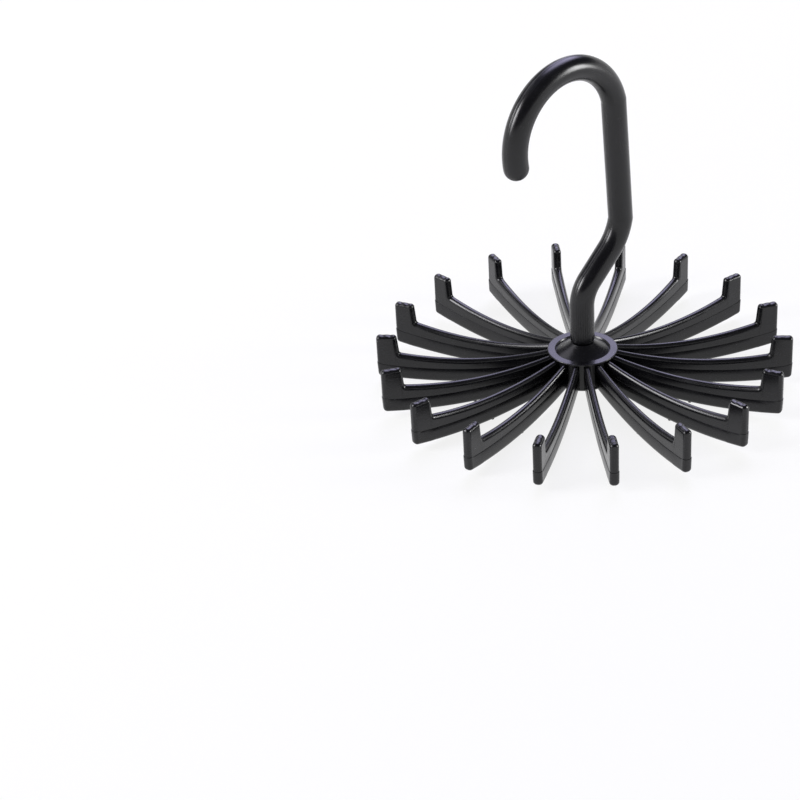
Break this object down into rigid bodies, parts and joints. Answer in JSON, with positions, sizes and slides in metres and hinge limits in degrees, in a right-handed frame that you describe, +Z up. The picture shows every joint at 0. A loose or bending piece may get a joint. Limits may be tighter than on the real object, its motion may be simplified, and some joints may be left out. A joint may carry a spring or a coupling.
{
  "type": "tie hanger",
  "caption": "Black plastic tie hanger: a ring of upright blade arms with upturned fingers round a small hub, swivelling freely under a round-rod hook for a closet rail.",
  "frame": {"origin": "on the swivel axis, on the inner side of the hook's loop, where the rail bears", "axes": "+Z up along the swivel axis, +X in the hook's plane towards its leg, rail along Y"},
  "size_m": [0.1592, 0.1598, 0.1364],
  "materials": {
    "hook_plastic": "satin gloss moulded",
    "hub_plastic": "satin gloss moulded",
    "arm_plastic": "satin gloss moulded"
  },
  "bodies": {
    "hook": {"hook": "hook_plastic"},
    "spider": {"hub_disc": "hub_plastic", "hub_drum": "hub_plastic", "arm_01": "arm_plastic", "arm_02": "arm_plastic", "arm_03": "arm_plastic", "arm_04": "arm_plastic", "arm_05": "arm_plastic", "arm_06": "arm_plastic", "arm_07": "arm_plastic", "arm_08": "arm_plastic", "arm_09": "arm_plastic", "arm_10": "arm_plastic", "arm_11": "arm_plastic", "arm_12": "arm_plastic", "arm_13": "arm_plastic", "arm_14": "arm_plastic", "arm_15": "arm_plastic", "arm_16": "arm_plastic", "arm_17": "arm_plastic", "arm_18": "arm_plastic"}
  },
  "joints": [
    {"name": "hook_swivel", "type": "hinge", "parent": "hook", "child": "spider", "pos_m": [0, 0, -0.11065], "axis": [0, 0, 1], "continuous": true}
  ]
}
